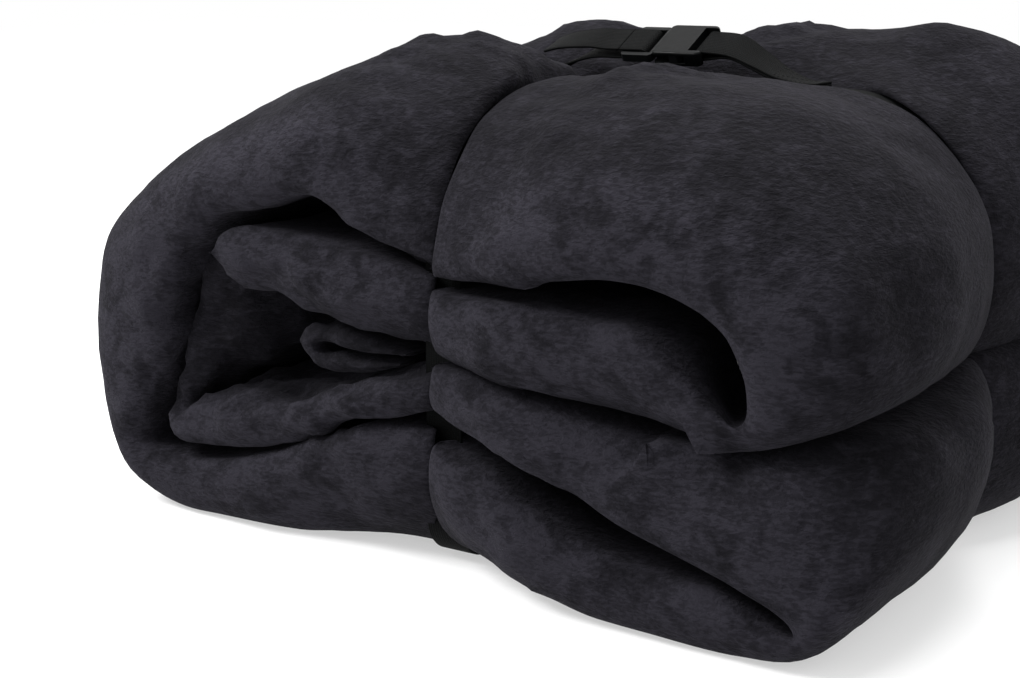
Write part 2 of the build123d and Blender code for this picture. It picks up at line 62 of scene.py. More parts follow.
# The sheet's route from its inner end round to its other end, as the end face shows it. Each
# row has the side that faces the bundle's inside (x, z), the side that faces out (x, z), how far
# the edge is set back there from the end face, and how far in from the end face the outer side
# goes on rising (0 for a distance that follows from the thickness).
SHEET_ROUTE = [
    # tongue: the inner end, under the top fold
    (-160, 182, -162, 155, 0, 0), (-132, 187, -128, 148, 0, 0), (-88, 183, -88, 138, 0, 0),
    (-40, 175, -45, 131, 0, 0), (0, 166, 0, 124, 0, 0),
    # second band, to the upper right fold
    (45, 162, 45, 120, 0, 0), (95, 162, 98, 114, 0, 0), (140, 160, 140, 108, 0, 0),
    (166, 144, 180, 104, 2, 0), (186, 126, 224, 109, 4, 40), (196, 119, 262, 128, 4, 80),
    (203, 128, 283, 165, 2, 112), (200, 149, 279, 207, 0, 120), (187, 168, 254, 242, 0, 130),
    (165, 181, 214, 267, 0, 135),
    # top fold, going left
    (133, 187, 166, 286, 0, 135), (97, 183, 112, 296, 0, 135), (55, 176, 56, 299, 0, 135),
    (0, 168.5, 0, 300, 0, 130), (-24, 179, -30, 299, 0, 130), (-60, 199, -76, 293, 0, 140),
    (-89, 209, -116, 284, 0, 140), (-126, 198, -168, 266, 0, 140), (-157, 192, -214, 241, 0, 120),
    # left fold, down the side
    (-181, 170, -252, 209, 0, 80), (-200, 141, -278, 172, 0, 44), (-206, 111, -284, 132, 0, 36),
    (-216, 82, -281, 88, 0, 32), (-228, 56, -268, 44, 0, 28), (-228, 40, -240, 12, 0, 22),
    (-204, 36, -204, 0, 0, 20),
    # bottom fold, going right
    (-171, 37, -166, 0, 0, 18), (-128, 48, -126, 0, 0, 20), (-86, 63, -86, 0, 0, 26),
    (-45, 80, -45, 0, 0, 40), (0, 80, 0, 0, 0, 46), (50, 63, 50, 0, 0, 40),
    (103, 42, 103, 0, 0, 24), (150, 34, 152, 0, 0, 18), (188, 33, 202, 0, 0, 16),
    (216, 22, 240, 7, 2, 20),
    # lower right fold
    (231, 17, 266, 38, 3, 50), (228, 24, 280, 74, 3, 90), (212, 33, 275, 105, 2, 90),
    (184, 42, 244, 116, 0, 60), (157, 49, 200, 108, 0, 40),
    # lower top fold, going left under the second band
    (131, 57, 150, 106, 0, 0), (98, 71, 98, 112, 0, 0), (53, 88, 45, 118, 0, 0),
    (0, 96, 0, 121, 0, 0),
    (-50, 84, -46, 103, 0, 0), (-86, 69, -76, 92, 0, 0), (-127, 53, -126, 82, 0, 0),
    (-180, 45, -160, 84, 2, 0), (-205, 47, -186, 72, 4, 0),
    # second left fold, up to the sheet's other end
    (-215, 59, -197, 65, 12, 0), (-213, 82, -186, 83, 18, 0), (-203, 110, -150, 104, 22, 0),
    (-198, 138, -134, 128, 24, 0), (-183, 163, -138, 147, 24, 0), (-168, 175, -152, 160, 24, 0),
]
RIM_RADIUS = 15.0            # roundness of the sheet's edge on its inner side
RIM_DEPTH = 11.5             # how far in from the end face that roundness reaches
CAVITY_FOLDS = 6.0           # depth of the crumpled folds in the left cavity
TURN_SWELL = 1.2             # how far the filling swells into the upper right fold
TIP_LENGTH = 10.0            # the sheet's two ends round off over this
DOME_RATIO = 1.2             # the outer side's rise, as a multiple of the thickness
DOME_LIMITS = (15.0, 112.0)  # least and most that this may be

# How far the end faces stand from the middle, front (-Y) and back (+Y), left and right
FRONT_LEFT, FRONT_RIGHT, BACK = 216.0, 237.0, 236.0

# Each strap's loop: low and high side, bottom, top, shoulder and foot radius, as in the model
LONG_LOOP = (-196.0, 196.0, 4.2, 262.0, 95.0, 22.0)
CROSS_LOOP = (-243.0, 228.0, 2.2, 264.5, 80.0, 22.0)
STRAP_HALF = 12.5
FLAT_HALF = STRAP_HALF + 1   # half the width of plush that lies flat against a strap
WAIST_WIDTH = 78.0           # how far from a strap the plush rises back to its full height
CLOSING_REACH = 27.0         # how far from a strap's edge the lobes lean over it
CLOSING_PAST = 6.0           # how far past the middle they lean, before they are evened out

RING_SPACING, FINE_SPACING = 5.6, 2.6      # steps along the route, away from and at a strap
CREASE_DEPTH, LUMP_DEPTH = 6.0, 2.6
LONG_CREASES, CROSS_CREASES = 130.0, 120.0  # how far from each strap its creases run
EVEN_FROM = 24.0             # how far from a strap the plush is evened out in full


def ellipse(share):
    """Quarter of an ellipse: 0 at 0, rising upright, and 1 from 1 on."""
    return np.sqrt(1 - (1 - np.clip(share, 0, 1)) ** 2)


def smooth(value, start, end):
    share = np.clip((value - start) / (end - start), 0, 1)
    return share * share * (3 - 2 * share)


def curve_through(rows, per_span=24):
    """Dense Catmull-Rom curve through rows of numbers."""
    rows = np.asarray(rows, float)
    padded = np.vstack([2 * rows[0] - rows[1], rows, 2 * rows[-1] - rows[-2]])
    t = np.linspace(0, 1, per_span, endpoint=False)[:, None]
    spans = []
    for a, b, c, d in zip(padded, padded[1:], padded[2:], padded[3:]):
        spans.append(0.5 * (2 * b + (c - a) * t + (2 * a - 5 * b + 4 * c - d) * t ** 2
                            + (3 * b - a - 3 * c + d) * t ** 3))
    return np.vstack(spans + [rows[-1:]])


def stations_along(route, spacing, fine_spacing, fine_half):
    """Rows of the route at even steps, with finer steps where it crosses under a strap."""
    dense = curve_through(route)
    middle = (dense[:, 0:2] + dense[:, 2:4]) / 2
    steps = np.hypot(*np.diff(middle, axis=0).T)
    outer = np.hypot(*np.diff(dense[:, 2:4], axis=0).T)
    length = np.concatenate([[0], np.cumsum(np.maximum(steps, 0.62 * outer))])
    wanted = [0.0]
    while wanted[-1] < length[-1]:
        x = np.interp(wanted[-1], length, middle[:, 0])
        near_strap = smooth(abs(x), fine_half, fine_half + 20)
        wanted.append(wanted[-1] + fine_spacing + (spacing - fine_spacing) * near_strap)
    wanted[-1] = length[-1]
    return np.array([np.interp(wanted, length, column) for column in dense.T]).T, np.array(wanted)


def across_levels(half):
    """Places across the sheet from its middle to one edge: fine under the strap and at the edge."""
    near = [0, 6, 12, 13.4, 14, 15, 16.6, 19, 22, 26, 31, 37]
    far = [0, 0.15, 0.6, 1.4, 2.6, 4.2, 6.4, 9, 12.2, 16, 20.5]
    stretch = np.arange(43.0, half - 24, 6.0)
    return np.concatenate([near, stretch, half - np.array(far[::-1])])


def end_reach(x, front_left, front_right):
    return front_left + (front_right - front_left) * smooth(x, -70, 60)


def loop_offset(across, up, loop):
    """Distance outside a strap's loop, and the outward direction, in the loop's own plane."""
    low, high, bottom, top, shoulder, foot = loop
    mid_across, mid_up = (low + high) / 2, (bottom + top) / 2
    radius = np.where(up > mid_up, shoulder, foot)
    over_across = abs(across - mid_across) - ((high - low) / 2 - radius)
    over_up = abs(up - mid_up) - ((top - bottom) / 2 - radius)
    corner = np.hypot(np.maximum(over_across, 0), np.maximum(over_up, 0))
    distance = corner + np.minimum(np.maximum(over_across, over_up), 0) - radius
    safe = np.maximum(corner, 1e-9)
    at_corner = (over_across > 0) & (over_up > 0)
    sideways = over_across > over_up
    out_across = np.where(at_corner, over_across / safe, np.where(sideways, 1.0, 0.0))
    out_up = np.where(at_corner, over_up / safe, np.where(sideways, 0.0, 1.0))
    return distance, out_across * np.sign(across - mid_across), out_up * np.sign(up - mid_up)


def draw_in(points, strap_axis, loop, floor, width, closing):
    """A strap pulls the plush onto its loop, and the lobes swell over it on both sides."""
    along = points[:, strap_axis]
    across = points[:, 1 - strap_axis]
    distance, out_across, out_up = loop_offset(across, points[:, 2], loop)
    outside = np.maximum(distance, 0)
    pull = 1 - ellipse((abs(along) - floor) / width)
    points[:, 1 - strap_axis] -= outside * pull * out_across
    points[:, 2] -= outside * pull * out_up
    stand = outside * (1 - pull)
    share = np.clip((abs(along) - floor) / CLOSING_REACH, 0, 1)
    closed = (floor + CLOSING_REACH + CLOSING_PAST) * share ** 1.6 - CLOSING_PAST
    shut = closing * smooth(stand, 0.6, 3.5) * (share < 1)
    points[:, strap_axis] += np.sign(along) * shut * (closed - abs(along))


def straps_draw_in(points):
    """Both straps' waists. The lobes close over the straps, but not at the two buckles."""
    x, y, z = points.T
    back_buckle = smooth(y, 60, 120) * smooth(z, 200, 150)
    crossing = smooth(z, 232, 262) * smooth(abs(y), 135, 70)
    floor_long = FLAT_HALF + 6.5 * back_buckle
    close_long = (1 - back_buckle) * (1 - crossing)
    front = smooth(y, -100, -180) * smooth(z, 190, 150)
    upper_front = smooth(y, -30, -100) * smooth(z, 160, 210) * smooth(x, -10, 20)
    width_long = WAIST_WIDTH - 22 * front + 48 * upper_front
    draw_in(points, 0, LONG_LOOP, floor_long, width_long, close_long)
    x, y, z = points.T
    top = smooth(z, 215, 250)
    crossing = top * smooth(x, -95, -60) * smooth(x, 175, 130)
    floor_cross = FLAT_HALF + 7.5 * crossing
    right = np.maximum(smooth(x, 100, 180), top * smooth(x, 10, 110))
    apart = top * smooth(x, -165, -100) * smooth(x, 200, 150)
    width_cross = WAIST_WIDTH + (32 + 40 * smooth(z, 100, 150)) * right
    draw_in(points, 1, CROSS_LOOP, floor_cross, width_cross, 1 - apart)


def sheet_points(route, rim, spacing, halves, tip_length):
    """Rings of points round the sheet, one ring for each step along its route."""
    rows, length = stations_along(route, spacing, FINE_SPACING, STRAP_HALF + 12)
    inner, outer, setback = rows[:, 0:2], rows[:, 2:4], rows[:, 4]
    thickness = np.hypot(*(outer - inner).T)
    rim_share = np.minimum(rim / thickness, 0.5)
    edge = inner + (outer - inner) * rim_share[:, None]
    from_tip = np.minimum(length, length[-1] - length)
    tip = ellipse(from_tip / tip_length)[:, None]
    inner = edge + (inner - edge) * tip
    outer = edge + (outer - edge) * tip
    reach_out = np.hypot(*(outer - edge).T)
    dome = np.where(rows[:, 5] > 0, rows[:, 5], np.clip(DOME_RATIO * reach_out, *DOME_LIMITS))
    levels = across_levels(halves[0])
    rings = []
    for a, b, c, back_off, width in zip(inner, outer, edge, setback, dome):
        front, back = end_reach(c[0], *halves[1:3]) - back_off, halves[3] - back_off
        y = np.concatenate([-levels[::-1] * front / halves[0], levels[1:] * back / halves[0]])
        depth = np.where(y < 0, front + y, back - y)
        outward = c + (b - c) * ellipse(depth / width)[:, None]
        swell = TURN_SWELL * smooth(c[0], 135, 190) * smooth(abs(c[1] - 145), 55, 35)
        inward = c + (a - c) * (ellipse(depth / RIM_DEPTH) + swell * smooth(depth, 8, 50))[:, None]
        side = np.column_stack([outward[:, 0], y, outward[:, 1]])
        other = np.column_stack([inward[:, 0], y, inward[:, 1]])[-2:0:-1]
        rings.append(np.vstack([side, other]))
    return np.array(rings)


def under_strap(along, across, up, loop):
    """True where the plush lies against the underside of a strap."""
    return (abs(along) < FLAT_HALF) & (loop_offset(across, up, loop)[0] < 1.5)


def strapped(points):
    x, y, z = points.T
    return under_strap(x, y, z, LONG_LOOP) | under_strap(y, x, z, CROSS_LOOP)


def relax(rings, reach=60, times=3):
    """Evens out the folds next to the straps, where the plush bunches up."""
    points = rings.reshape(-1, 3)
    nearest = np.minimum(abs(points[:, 0]), abs(points[:, 1]))
    share = 0.5 * (1 - smooth(nearest, EVEN_FROM, reach))
    share[strapped(points)] = 0
    share = share.reshape(rings.shape[:2])
    share[:2] = share[-2:] = 0
    for _ in range(times):
        around = (np.roll(rings, 1, axis=1) + np.roll(rings, -1, axis=1)) / 4
        around[1:-1] += (rings[2:] + rings[:-2]) / 4
        rings += share[:, :, None] * (around - rings)


def mesh_from_rings(name, rings):
    """Closed mesh from rings of points: the first and last ring are folded shut."""
    count, size = rings.shape[:2]
    faces = []
    for i in range(count - 1):
        base, after = i * size, (i + 1) * size
        for j in range(size):
            k = (j + 1) % size
            faces.append((base + j, after + j, after + k, base + k))
    half = size // 2
    for base, turn in ((0, False), ((count - 1) * size, True)):
        for j in range(half):
            ring = [base + j, base + j + 1, base + (size - j - 1) % size, base + (size - j) % size]
            ring = list(dict.fromkeys(ring))
            if len(ring) > 2:
                faces.append(tuple(ring[::-1]) if turn else tuple(ring))
    mesh = bpy.data.meshes.new(name)
    mesh.from_pydata((rings.reshape(-1, 3) * MM).tolist(), [], faces)
    mesh.validate()
    mesh.update()
    piece = bpy.data.objects.new(name, mesh)
    bpy.context.collection.objects.link(piece)
    return piece


def settle_lobes(points):
    """The lobes differ: the front right one lies lower, and the back right one is fuller."""
    x, y, z = points.T
    front_right = smooth(x, -30, 40) * smooth(y, 30, -50)
    back_right = smooth(x, 90, 190) * smooth(y, 20, 110) * smooth(z, 200, 255)
    pinched = smooth(y, -150, -225) * smooth(abs(x), 120, 20) * smooth(z, 70, 10)
    shoulder = smooth(x, 170, 265) * smooth(abs(y + 105), 118, 70) * smooth(z, 120, 190)
    points[:, 2] += (20 * back_right + 15 * pinched
                     - 0.145 * front_right * np.maximum(z - 175, 0))
    points[:, 0] -= 13 * shoulder


def noise_at(points, octaves=2):
    """Smooth noise of about plus or minus 1."""
    return np.array([noise.fractal(Vector(p), 0.7, 2.0, octaves) for p in points])


def crease_share(points, strap_axis, spread):
    """How deep the creases that run out from under a strap are at each point, 0 to 1."""
    along = abs(points[:, strap_axis])
    scale = np.full(3, 1 / 30)
    scale[strap_axis] = 1 / 150
    warped = points + 9 * noise_at(points / 70)[:, None]
    ridge = 1 - np.minimum(abs(noise_at(warped * scale + 7 * strap_axis)) * 2.4, 1)
    reach = smooth(along, 11, 26) * (1 - smooth(along, 0.35 * spread, spread))
    return ridge ** 2 * reach


def vertex_arrays(mesh):
    points = np.empty(len(mesh.vertices) * 3)
    normals = np.empty_like(points)
    mesh.vertices.foreach_get("co", points)
    mesh.vertex_normals.foreach_get("vector", normals)
    return points.reshape(-1, 3) / MM, normals.reshape(-1, 3)


def set_points(mesh, points):
    mesh.vertices.foreach_set("co", (points * MM).ravel())
    mesh.update()


def gathers(points):
    """Wide soft folds in the top that run out from under the crossing straps, 0 to 1."""
    x, y, z = points.T
    turn = np.arctan2(y, x) + 0.35 * noise_at(points / 60)
    out = np.hypot(x, y)
    return (0.5 + 0.5 * np.cos(13 * turn)) ** 2 * (smooth(out, 55, 95) * smooth(out, 200, 95)
                                                   * smooth(z, 195, 245))


def in_left_cavity(points):
    """1 on the crumpled folds in the near end's left cavity, and 0 elsewhere."""
    x, y, z = points.T
    return (smooth(x, -55, -105) * smooth(x, -236, -212) * smooth(abs(z - 116), 62, 46)
            * smooth(y, -70, -150))


def tuck_round(points, node, spare):
    """The padding is sunk round a part in the back end face, so that the part stands free."""
    low, high = (np.array(corner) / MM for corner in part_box(node))
    middle, half = (low + high) / 2, (high - low) / 2 + spare
    beside = [smooth(abs(points[:, i] - middle[i]), half[i] + 10, half[i]) for i in (0, 2)]
    proud = np.maximum(points[:, 1] - low[1] + 1.5, 0)
    points[:, 1] -= beside[0] * beside[1] * proud


def crumple(mesh, depth, lumps):
    """Creases at the straps, and lumps of the filling everywhere."""
    points, normals = vertex_arrays(mesh)
    sunk = depth * (crease_share(points, 0, LONG_CREASES)
                    + 0.4 * crease_share(points, 1, CROSS_CREASES) + 0.7 * gathers(points))
    raised = lumps * noise_at(points / 95) + 0.45 * lumps * noise_at(points / 34 + 5)
    raised += CAVITY_FOLDS * in_left_cavity(points) * noise_at(points / 24 + 11)
    near_floor = 1 - smooth(points[:, 2], 3, 14)
    shift = (raised - sunk) * (1 - near_floor)
    flat = strapped(points)
    shift[flat] = np.minimum(shift[flat], 0)
    points += normals * shift[:, None]
    points[:, 2] = np.maximum(points[:, 2], 0)
    tuck_round(points, "inlet_flange", 3)
    tuck_round(points, "long_keeper", 8)
    set_points(mesh, points)


def shade_smooth(piece):
    piece.data.polygons.foreach_set("use_smooth", np.ones(len(piece.data.polygons), bool))


def rim_attribute(mesh, halves):
    """Marks how near each point lies to the sheet's edges, where the pile stands up; the plush's
    colour takes it for a painted highlight.
    """
    points, _ = vertex_arrays(mesh)
    front = end_reach(points[:, 0], *halves[1:3]) + points[:, 1]
    back = halves[3] - points[:, 1]
    edge = np.minimum(front, back)
    layer = mesh.attributes.new("rim", "FLOAT", "POINT")
    layer.data.foreach_set("value", 1 - smooth(edge, 4, 34))


# Layers sealed inside the sheet, folded double round its middle: node, material slot, how far from
# the middle each starts and ends, and its spans in y
INNER_LAYERS = [
    ("inner_lining", "lining", 0.4, 4.0, [(-165, 165)]),
    ("heater_bus_bars", "copper", 4.1, 4.4, [(-158, -140), (140, 158)]),
    ("heater_sheet", "heater", 4.5, 5.2, [(-162, 162)]),
    ("reflective_film", "film", 5.25, 5.6, [(-164, 164)]),
    ("insulation_felt", "felt", 5.7, 7.5, [(-165, 165)]),
]
LAYERS_HALF = 7.5            # half of all the layers' thickness
LAYERS_SHARE = 0.40          # most of the sheet's thickness that half of them may take
LAYER_ENDS = 12              # rings of the sheet beyond the layers at each end


def layer_rings(rings, low, high, span):
    """Rings round a layer inside the sheet: out along one face, and back along the other."""
    half = rings.shape[1] // 2
    outer, inner = rings[LAYER_ENDS:-LAYER_ENDS, 1:half], rings[LAYER_ENDS:-LAYER_ENDS, :half:-1]
    across = np.median(outer[:, :, 1], axis=0)
    kept = np.flatnonzero((across > span[0]) & (across < span[1]))
    kept = kept[::3] if len(kept) > 12 else kept
    outer, inner = outer[::2, kept], inner[::2, kept]
    middle = (outer + inner) / 2
    apart = np.linalg.norm(outer - inner, axis=2, keepdims=True)
    toward = (outer - inner) / apart * np.minimum(1, LAYERS_SHARE * apart / LAYERS_HALF)
    beyond = middle[0] - middle[1]
    beyond *= np.linalg.norm(toward[0], axis=1)[:, None] / np.linalg.norm(beyond, axis=1)[:, None]

    def around(centre, way):
        return np.concatenate([centre + way * high, (centre + way * low)[:, ::-1]], axis=1)

    return np.concatenate([around(middle, toward)[::-1],
                           around(middle[:1], beyond[None]),
                           around(middle, -toward)])


def inner_layers(sheet, shape):
    """The heating layers, which follow the sheet's own folds."""
    rings = vertex_arrays(sheet.data)[0].reshape(shape)
    made = []
    for node, slot, low, high, spans in INNER_LAYERS:
        parts = [mesh_from_rings(f"{node}_folded", layer_rings(rings, low, high, span))
                 for span in spans]
        piece = parts[0]
        if len(parts) > 1:
            with bpy.context.temp_override(active_object=piece, selected_editable_objects=parts):
                bpy.ops.object.join()
        shade_smooth(piece)
        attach(piece, "bundle")
        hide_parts(node)
        made.append((piece, slot))
    return made


def plush_sheet():
    """The folded sheet as one padded piece, and the layers inside it."""
    halves = (240.0, FRONT_LEFT, FRONT_RIGHT, BACK)
    rings = sheet_points(SHEET_ROUTE, RIM_RADIUS, RING_SPACING, halves, TIP_LENGTH)
    points = rings.reshape(-1, 3)
    settle_lobes(points)
    straps_draw_in(points)
    relax(rings)
    piece = mesh_from_rings("plush_sheet", rings)
    crumple(piece.data, CREASE_DEPTH, LUMP_DEPTH)
    settled = vertex_arrays(piece.data)[0].reshape(rings.shape)
    relax(settled, reach=90, times=4)
    set_points(piece.data, settled.reshape(-1, 3))
    rim_attribute(piece.data, halves)
    shade_smooth(piece)
    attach(piece, "bundle")
    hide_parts(*(name for name in frame["nodes"] if name.startswith("plush_")))
    return piece, inner_layers(piece, rings.shape)


# Neck flap, folded double: rows as in SHEET_ROUTE
FLAP_ROUTE = [
    (-24, 118, -26, 123, 6, 0), (-50, 119, -52, 127, 2, 0), (-72, 121, -74, 132, 0, 0),
    (-86, 121, -96, 130, 0, 0), (-89, 118, -104, 116, 2, 0), (-84, 115.5, -92, 106, 0, 0),
    (-64, 115, -64, 105, 2, 0), (-44, 115.5, -42, 109, 4, 0), (-32, 116.5, -30, 112, 8, 0),
]
FLAP_HALF, FLAP_MIDDLE = 90.5, -114.5


def neck_flap():
    rings = sheet_points(FLAP_ROUTE, 4.0, 4.0, (FLAP_HALF,) * 4, 5.0)
    rings[:, :, 1] += FLAP_MIDDLE
    piece = mesh_from_rings("neck_flap_fold", rings)
    crumple(piece.data, 0.0, 2.4)
    shade_smooth(piece)
    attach(piece, "bundle")
    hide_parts("neck_flap")
    return piece


# ---------------------------------------------------------------- webbing

WEBBING_WIDTH, WEBBING_THICKNESS, WEBBING_GAP = 25.0, 1.6, 0.1
BAR_TURN = 2.9               # from a buckle bar's centre to the middle of the webbing round it
LAYER = 0.82                 # from the middle of a doubled strap to the middle of each layer
BUCKLE_LEAN = 28.0           # how far the top buckle leans to the front, in degrees
BUCKLE_X, BUCKLE_Z = 27.0, 289.0
BACK_BUCKLE_Y, BACK_BUCKLE_Z = 203.5, 100.0
PLUG_BAR, SOCKET_BAR, STRAP_LEAVES = -9.0, 31.0, -24.0

# Half of the webbing's section: share of the half width, share of the half thickness
WEBBING_SECTION = [
    (-1, 0), (-0.985, 0.62), (-0.94, 1), (-0.88, 0.8), (-0.82, 1), (-0.4, 1), (0, 1), (0.4, 1),
    (0.82, 1), (0.88, 0.8), (0.94, 1), (0.985, 0.62), (1, 0),
]


def loop_path(loop, stand, steps=14):
    """Points (across, up) round a strap's loop at a stand-off, from its top middle onwards."""
    low, high, bottom, top, shoulder, foot = loop
    low, bottom, high, top = low - stand, bottom - stand, high + stand, top + stand
    corners = [
        (high, top, shoulder + stand, 90), (high, bottom, foot + stand, 0),
        (low, bottom, foot + stand, -90), (low, top, shoulder + stand, -180),
    ]
    path = []
    for x, z, radius, start in corners:
        centre = (x - math.copysign(radius, x), z + (radius if z == bottom else -radius))
        for turn in np.radians(np.linspace(start, start - 90, steps)):
            path.append((centre[0] + radius * math.cos(turn), centre[1] + radius * math.sin(turn)))
    return path


def leaning(x, z, tilt, lift=0.0):
    """A point of the cross strap and the direction across it, where it leans to the front."""
    lean = math.radians(tilt)
    return ((x, -math.sin(lean) * lift, z + math.cos(lean) * lift),
            (0.0, math.cos(lean), math.sin(lean)))


def upright(y, z):
    return (0.0, y, z), (1.0, 0.0, 0.0)


def level(x, z):
    return leaning(x, z, 0)


def even_steps(stations, spacing=1.6):
    """Stations joined by straight runs and stepped evenly, so that weave lines don't stretch."""
    rows = np.array([point + side for point, side in stations])
    length = np.concatenate([[0], np.cumsum(np.linalg.norm(np.diff(rows[:, :3], axis=0), axis=1))])
    wanted = np.linspace(0, length[-1], max(int(length[-1] / spacing), 4))
    rows = np.array([np.interp(wanted, length, column) for column in rows.T]).T
    return rows[:, :3], rows[:, 3:] / np.linalg.norm(rows[:, 3:], axis=1)[:, None], wanted


def softened(stations):
    """Stations taken round smooth bends."""
    rows = np.array([point + side for point, side in stations])
    return [(tuple(row[:3]), tuple(row[3:])) for row in curve_through(rows, 8)]


class Strip:
    """A run of webbing: its middle line, its direction across, and its upper side."""

    def __init__(self, stations, width=WEBBING_WIDTH, thickness=WEBBING_THICKNESS):
        self.points, self.across, self.length = even_steps(stations)
        along = np.gradient(self.points, axis=0)
        up = np.cross(along, self.across)
        self.up = up / np.linalg.norm(up, axis=1)[:, None]
        self.width, self.thickness = width, thickness

    def at(self, along, side, lift):
        """Point at a length along the strip, off its middle line."""
        point, across, up = (
            np.array([np.interp(along, self.length, column) for column in rows.T])
            for rows in (self.points, self.across, self.up))
        return point + across * side + up * lift

    def mesh(self, name):
        upper = WEBBING_SECTION
        section = upper + [(u, -v) for u, v in upper[-2:0:-1]]
        u = np.array([row[0] for row in section]) * self.width / 2
        v = np.array([row[1] for row in section]) * self.thickness / 2
        rings = (self.points[:, None] + self.across[:, None] * u[None, :, None]
                 + self.up[:, None] * v[None, :, None])
        count, size = rings.shape[:2]
        faces = [(i * size + j, i * size + (j + 1) % size, (i + 1) * size + (j + 1) % size,
                  (i + 1) * size + j) for i in range(count - 1) for j in range(size)]
        faces.append(tuple(range(size - 1, -1, -1)))
        faces.append(tuple(range((count - 1) * size, count * size)))
        mesh = bpy.data.meshes.new(name)
        mesh.from_pydata((rings.reshape(-1, 3) * MM).tolist(), [], faces)
        grid = mesh.uv_layers.new(name="weave")
        corners = np.empty(len(mesh.loops), int)
        mesh.loops.foreach_get("vertex_index", corners)
        places = np.column_stack([u[corners % size], self.length[corners // size]])
        grid.data.foreach_set("uv", places.ravel())
        mesh.update()
        return mesh


def add_piece(name, mesh, body, replaced=()):
    piece = bpy.data.objects.new(name, mesh)
    bpy.context.collection.objects.link(piece)
    shade_smooth(piece)
    if body:
        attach(piece, body)
    if replaced:
        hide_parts(*replaced)
    return piece


def thread_mesh(name, strip, lines, pitch=3.0, stitch=2.3, radius=0.22):
    """Rows of stitches on a strip's upper side, along lines of (along, side) points."""
    points, faces = [], []
    for line in lines:
        for (s0, u0), (s1, u1) in zip(line, line[1:]):
            run = math.hypot(s1 - s0, u1 - u0)
            for k in range(max(int(run / pitch), 1)):
                ends = (k * pitch / run, min((k * pitch + stitch) / run, 1))
                base = len(points)
                for share in np.linspace(*ends, 5):
                    bulge = math.sin(math.pi * (share - ends[0]) / (ends[1] - ends[0]))
                    lift = strip.thickness / 2 - 0.15 + 0.3 * bulge
                    for turn in np.arange(6) * math.pi / 3:
                        spread = radius * (0.5 + 0.5 * bulge)
                        across = math.cos(turn) * spread
                        points.append(strip.at(
                            s0 + (s1 - s0) * share - across * (u1 - u0) / run,
                            u0 + (u1 - u0) * share + across * (s1 - s0) / run,
                            lift + math.sin(turn) * spread))
                for i in range(4):
                    for j in range(6):
                        a, b = base + i * 6 + j, base + i * 6 + (j + 1) % 6
                        faces.append((a, b, b + 6, a + 6))
                faces.append(tuple(base + j for j in range(5, -1, -1)))
                faces.append(tuple(base + 24 + j for j in range(6)))
    mesh = bpy.data.meshes.new(name)
    mesh.from_pydata((np.array(points) * MM).tolist(), [], faces)
    return mesh


def box_stitch(start, end, half):
    """Lines of a sewn box with a cross in it."""
    return [
        [(start, -half), (end, -half), (end, half), (start, half), (start, -half)],
        [(start, -half), (end, half)], [(start, half), (end, -half)],
    ]


def cross_webbing():
    """Cross strap, from beside the socket round the bundle, into the plug and back out."""
    stand = WEBBING_GAP + WEBBING_THICKNESS / 2
    loop = loop_path(CROSS_LOOP, stand)
    top = CROSS_LOOP[3] + stand
    bar = BUCKLE_X + PLUG_BAR
    leaves = BUCKLE_X + STRAP_LEAVES
    route = [level(84, top)] + [level(*place) for place in loop]
    rise = softened([
        level(-70, top), leaning(-64, 266.5, 1), leaning(-56, 269, 2), leaning(-38, 277, 10),
        leaning(-18, 284.5, 20), leaning(leaves, BUCKLE_Z, BUCKLE_LEAN, -BAR_TURN)])
    turn = [leaning(bar + BAR_TURN * math.cos(a), BUCKLE_Z, BUCKLE_LEAN, BAR_TURN * math.sin(a))
            for a in np.radians(np.arange(-90, 91, 15))]
    strip = Strip(route + rise + turn
                  + [leaning(leaves - 0.4, BUCKLE_Z, BUCKLE_LEAN, BAR_TURN)])
    cross = add_piece("cross_webbing", strip.mesh("cross_webbing"), "bundle",
                      ["cross_strap"])
    tail_strip = Strip(softened([
        leaning(leaves - 1.0, BUCKLE_Z, BUCKLE_LEAN, BAR_TURN), leaning(-10, 291.4, 27),
        leaning(-22, 292, 26), leaning(-42, 290, 22), leaning(-54, 287, 20)]))
    tail = add_piece("cross_tail", tail_strip.mesh("cross_tail"), None,
                     ["cross_strap_tail"])
    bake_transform(tail)
    end = tail_strip.length[-1]
    tail_thread = add_piece("cross_tail_thread", thread_mesh(
        "cross_tail_thread", tail_strip, [[(end - 4, -10.5), (end - 4, 10.5)],
                                          [(end - 9, -10.5), (end - 9, 10.5)]]),
        "cross_strap_tail")
    over = CROSS_LOOP[3] + 2 * WEBBING_THICKNESS + 0.7
    bar = BUCKLE_X + SOCKET_BAR
    halves = []
    for side in (-1, 1):
        halves.append(softened([
            leaning(136, over, 0, side * LAYER), leaning(124, over + 0.4, 0, side * LAYER),
            leaning(109, 273.5, 7, side * LAYER), leaning(94, 281.5, 17, side * LAYER),
            leaning(78, BUCKLE_Z, BUCKLE_LEAN, side * LAYER),
            leaning(bar, BUCKLE_Z, BUCKLE_LEAN, side * BAR_TURN)]))
    turn = [leaning(bar - BAR_TURN * math.cos(a), BUCKLE_Z, BUCKLE_LEAN, BAR_TURN * math.sin(a))
            for a in np.radians(np.arange(-75, 76, 15))]
    strip = Strip(halves[0] + turn + halves[1][::-1])
    end = strip.length[-1]
    socket_web = add_piece("cross_socket_web", strip.mesh("cross_socket_web"), "cross_socket",
                           ["cross_socket_webbing"])
    socket_thread = add_piece("cross_socket_thread", thread_mesh(
        "cross_socket_thread", strip, box_stitch(end - 30, end - 6, 9.5)), "cross_socket")
    return [cross, tail, socket_web], [tail_thread, socket_thread]


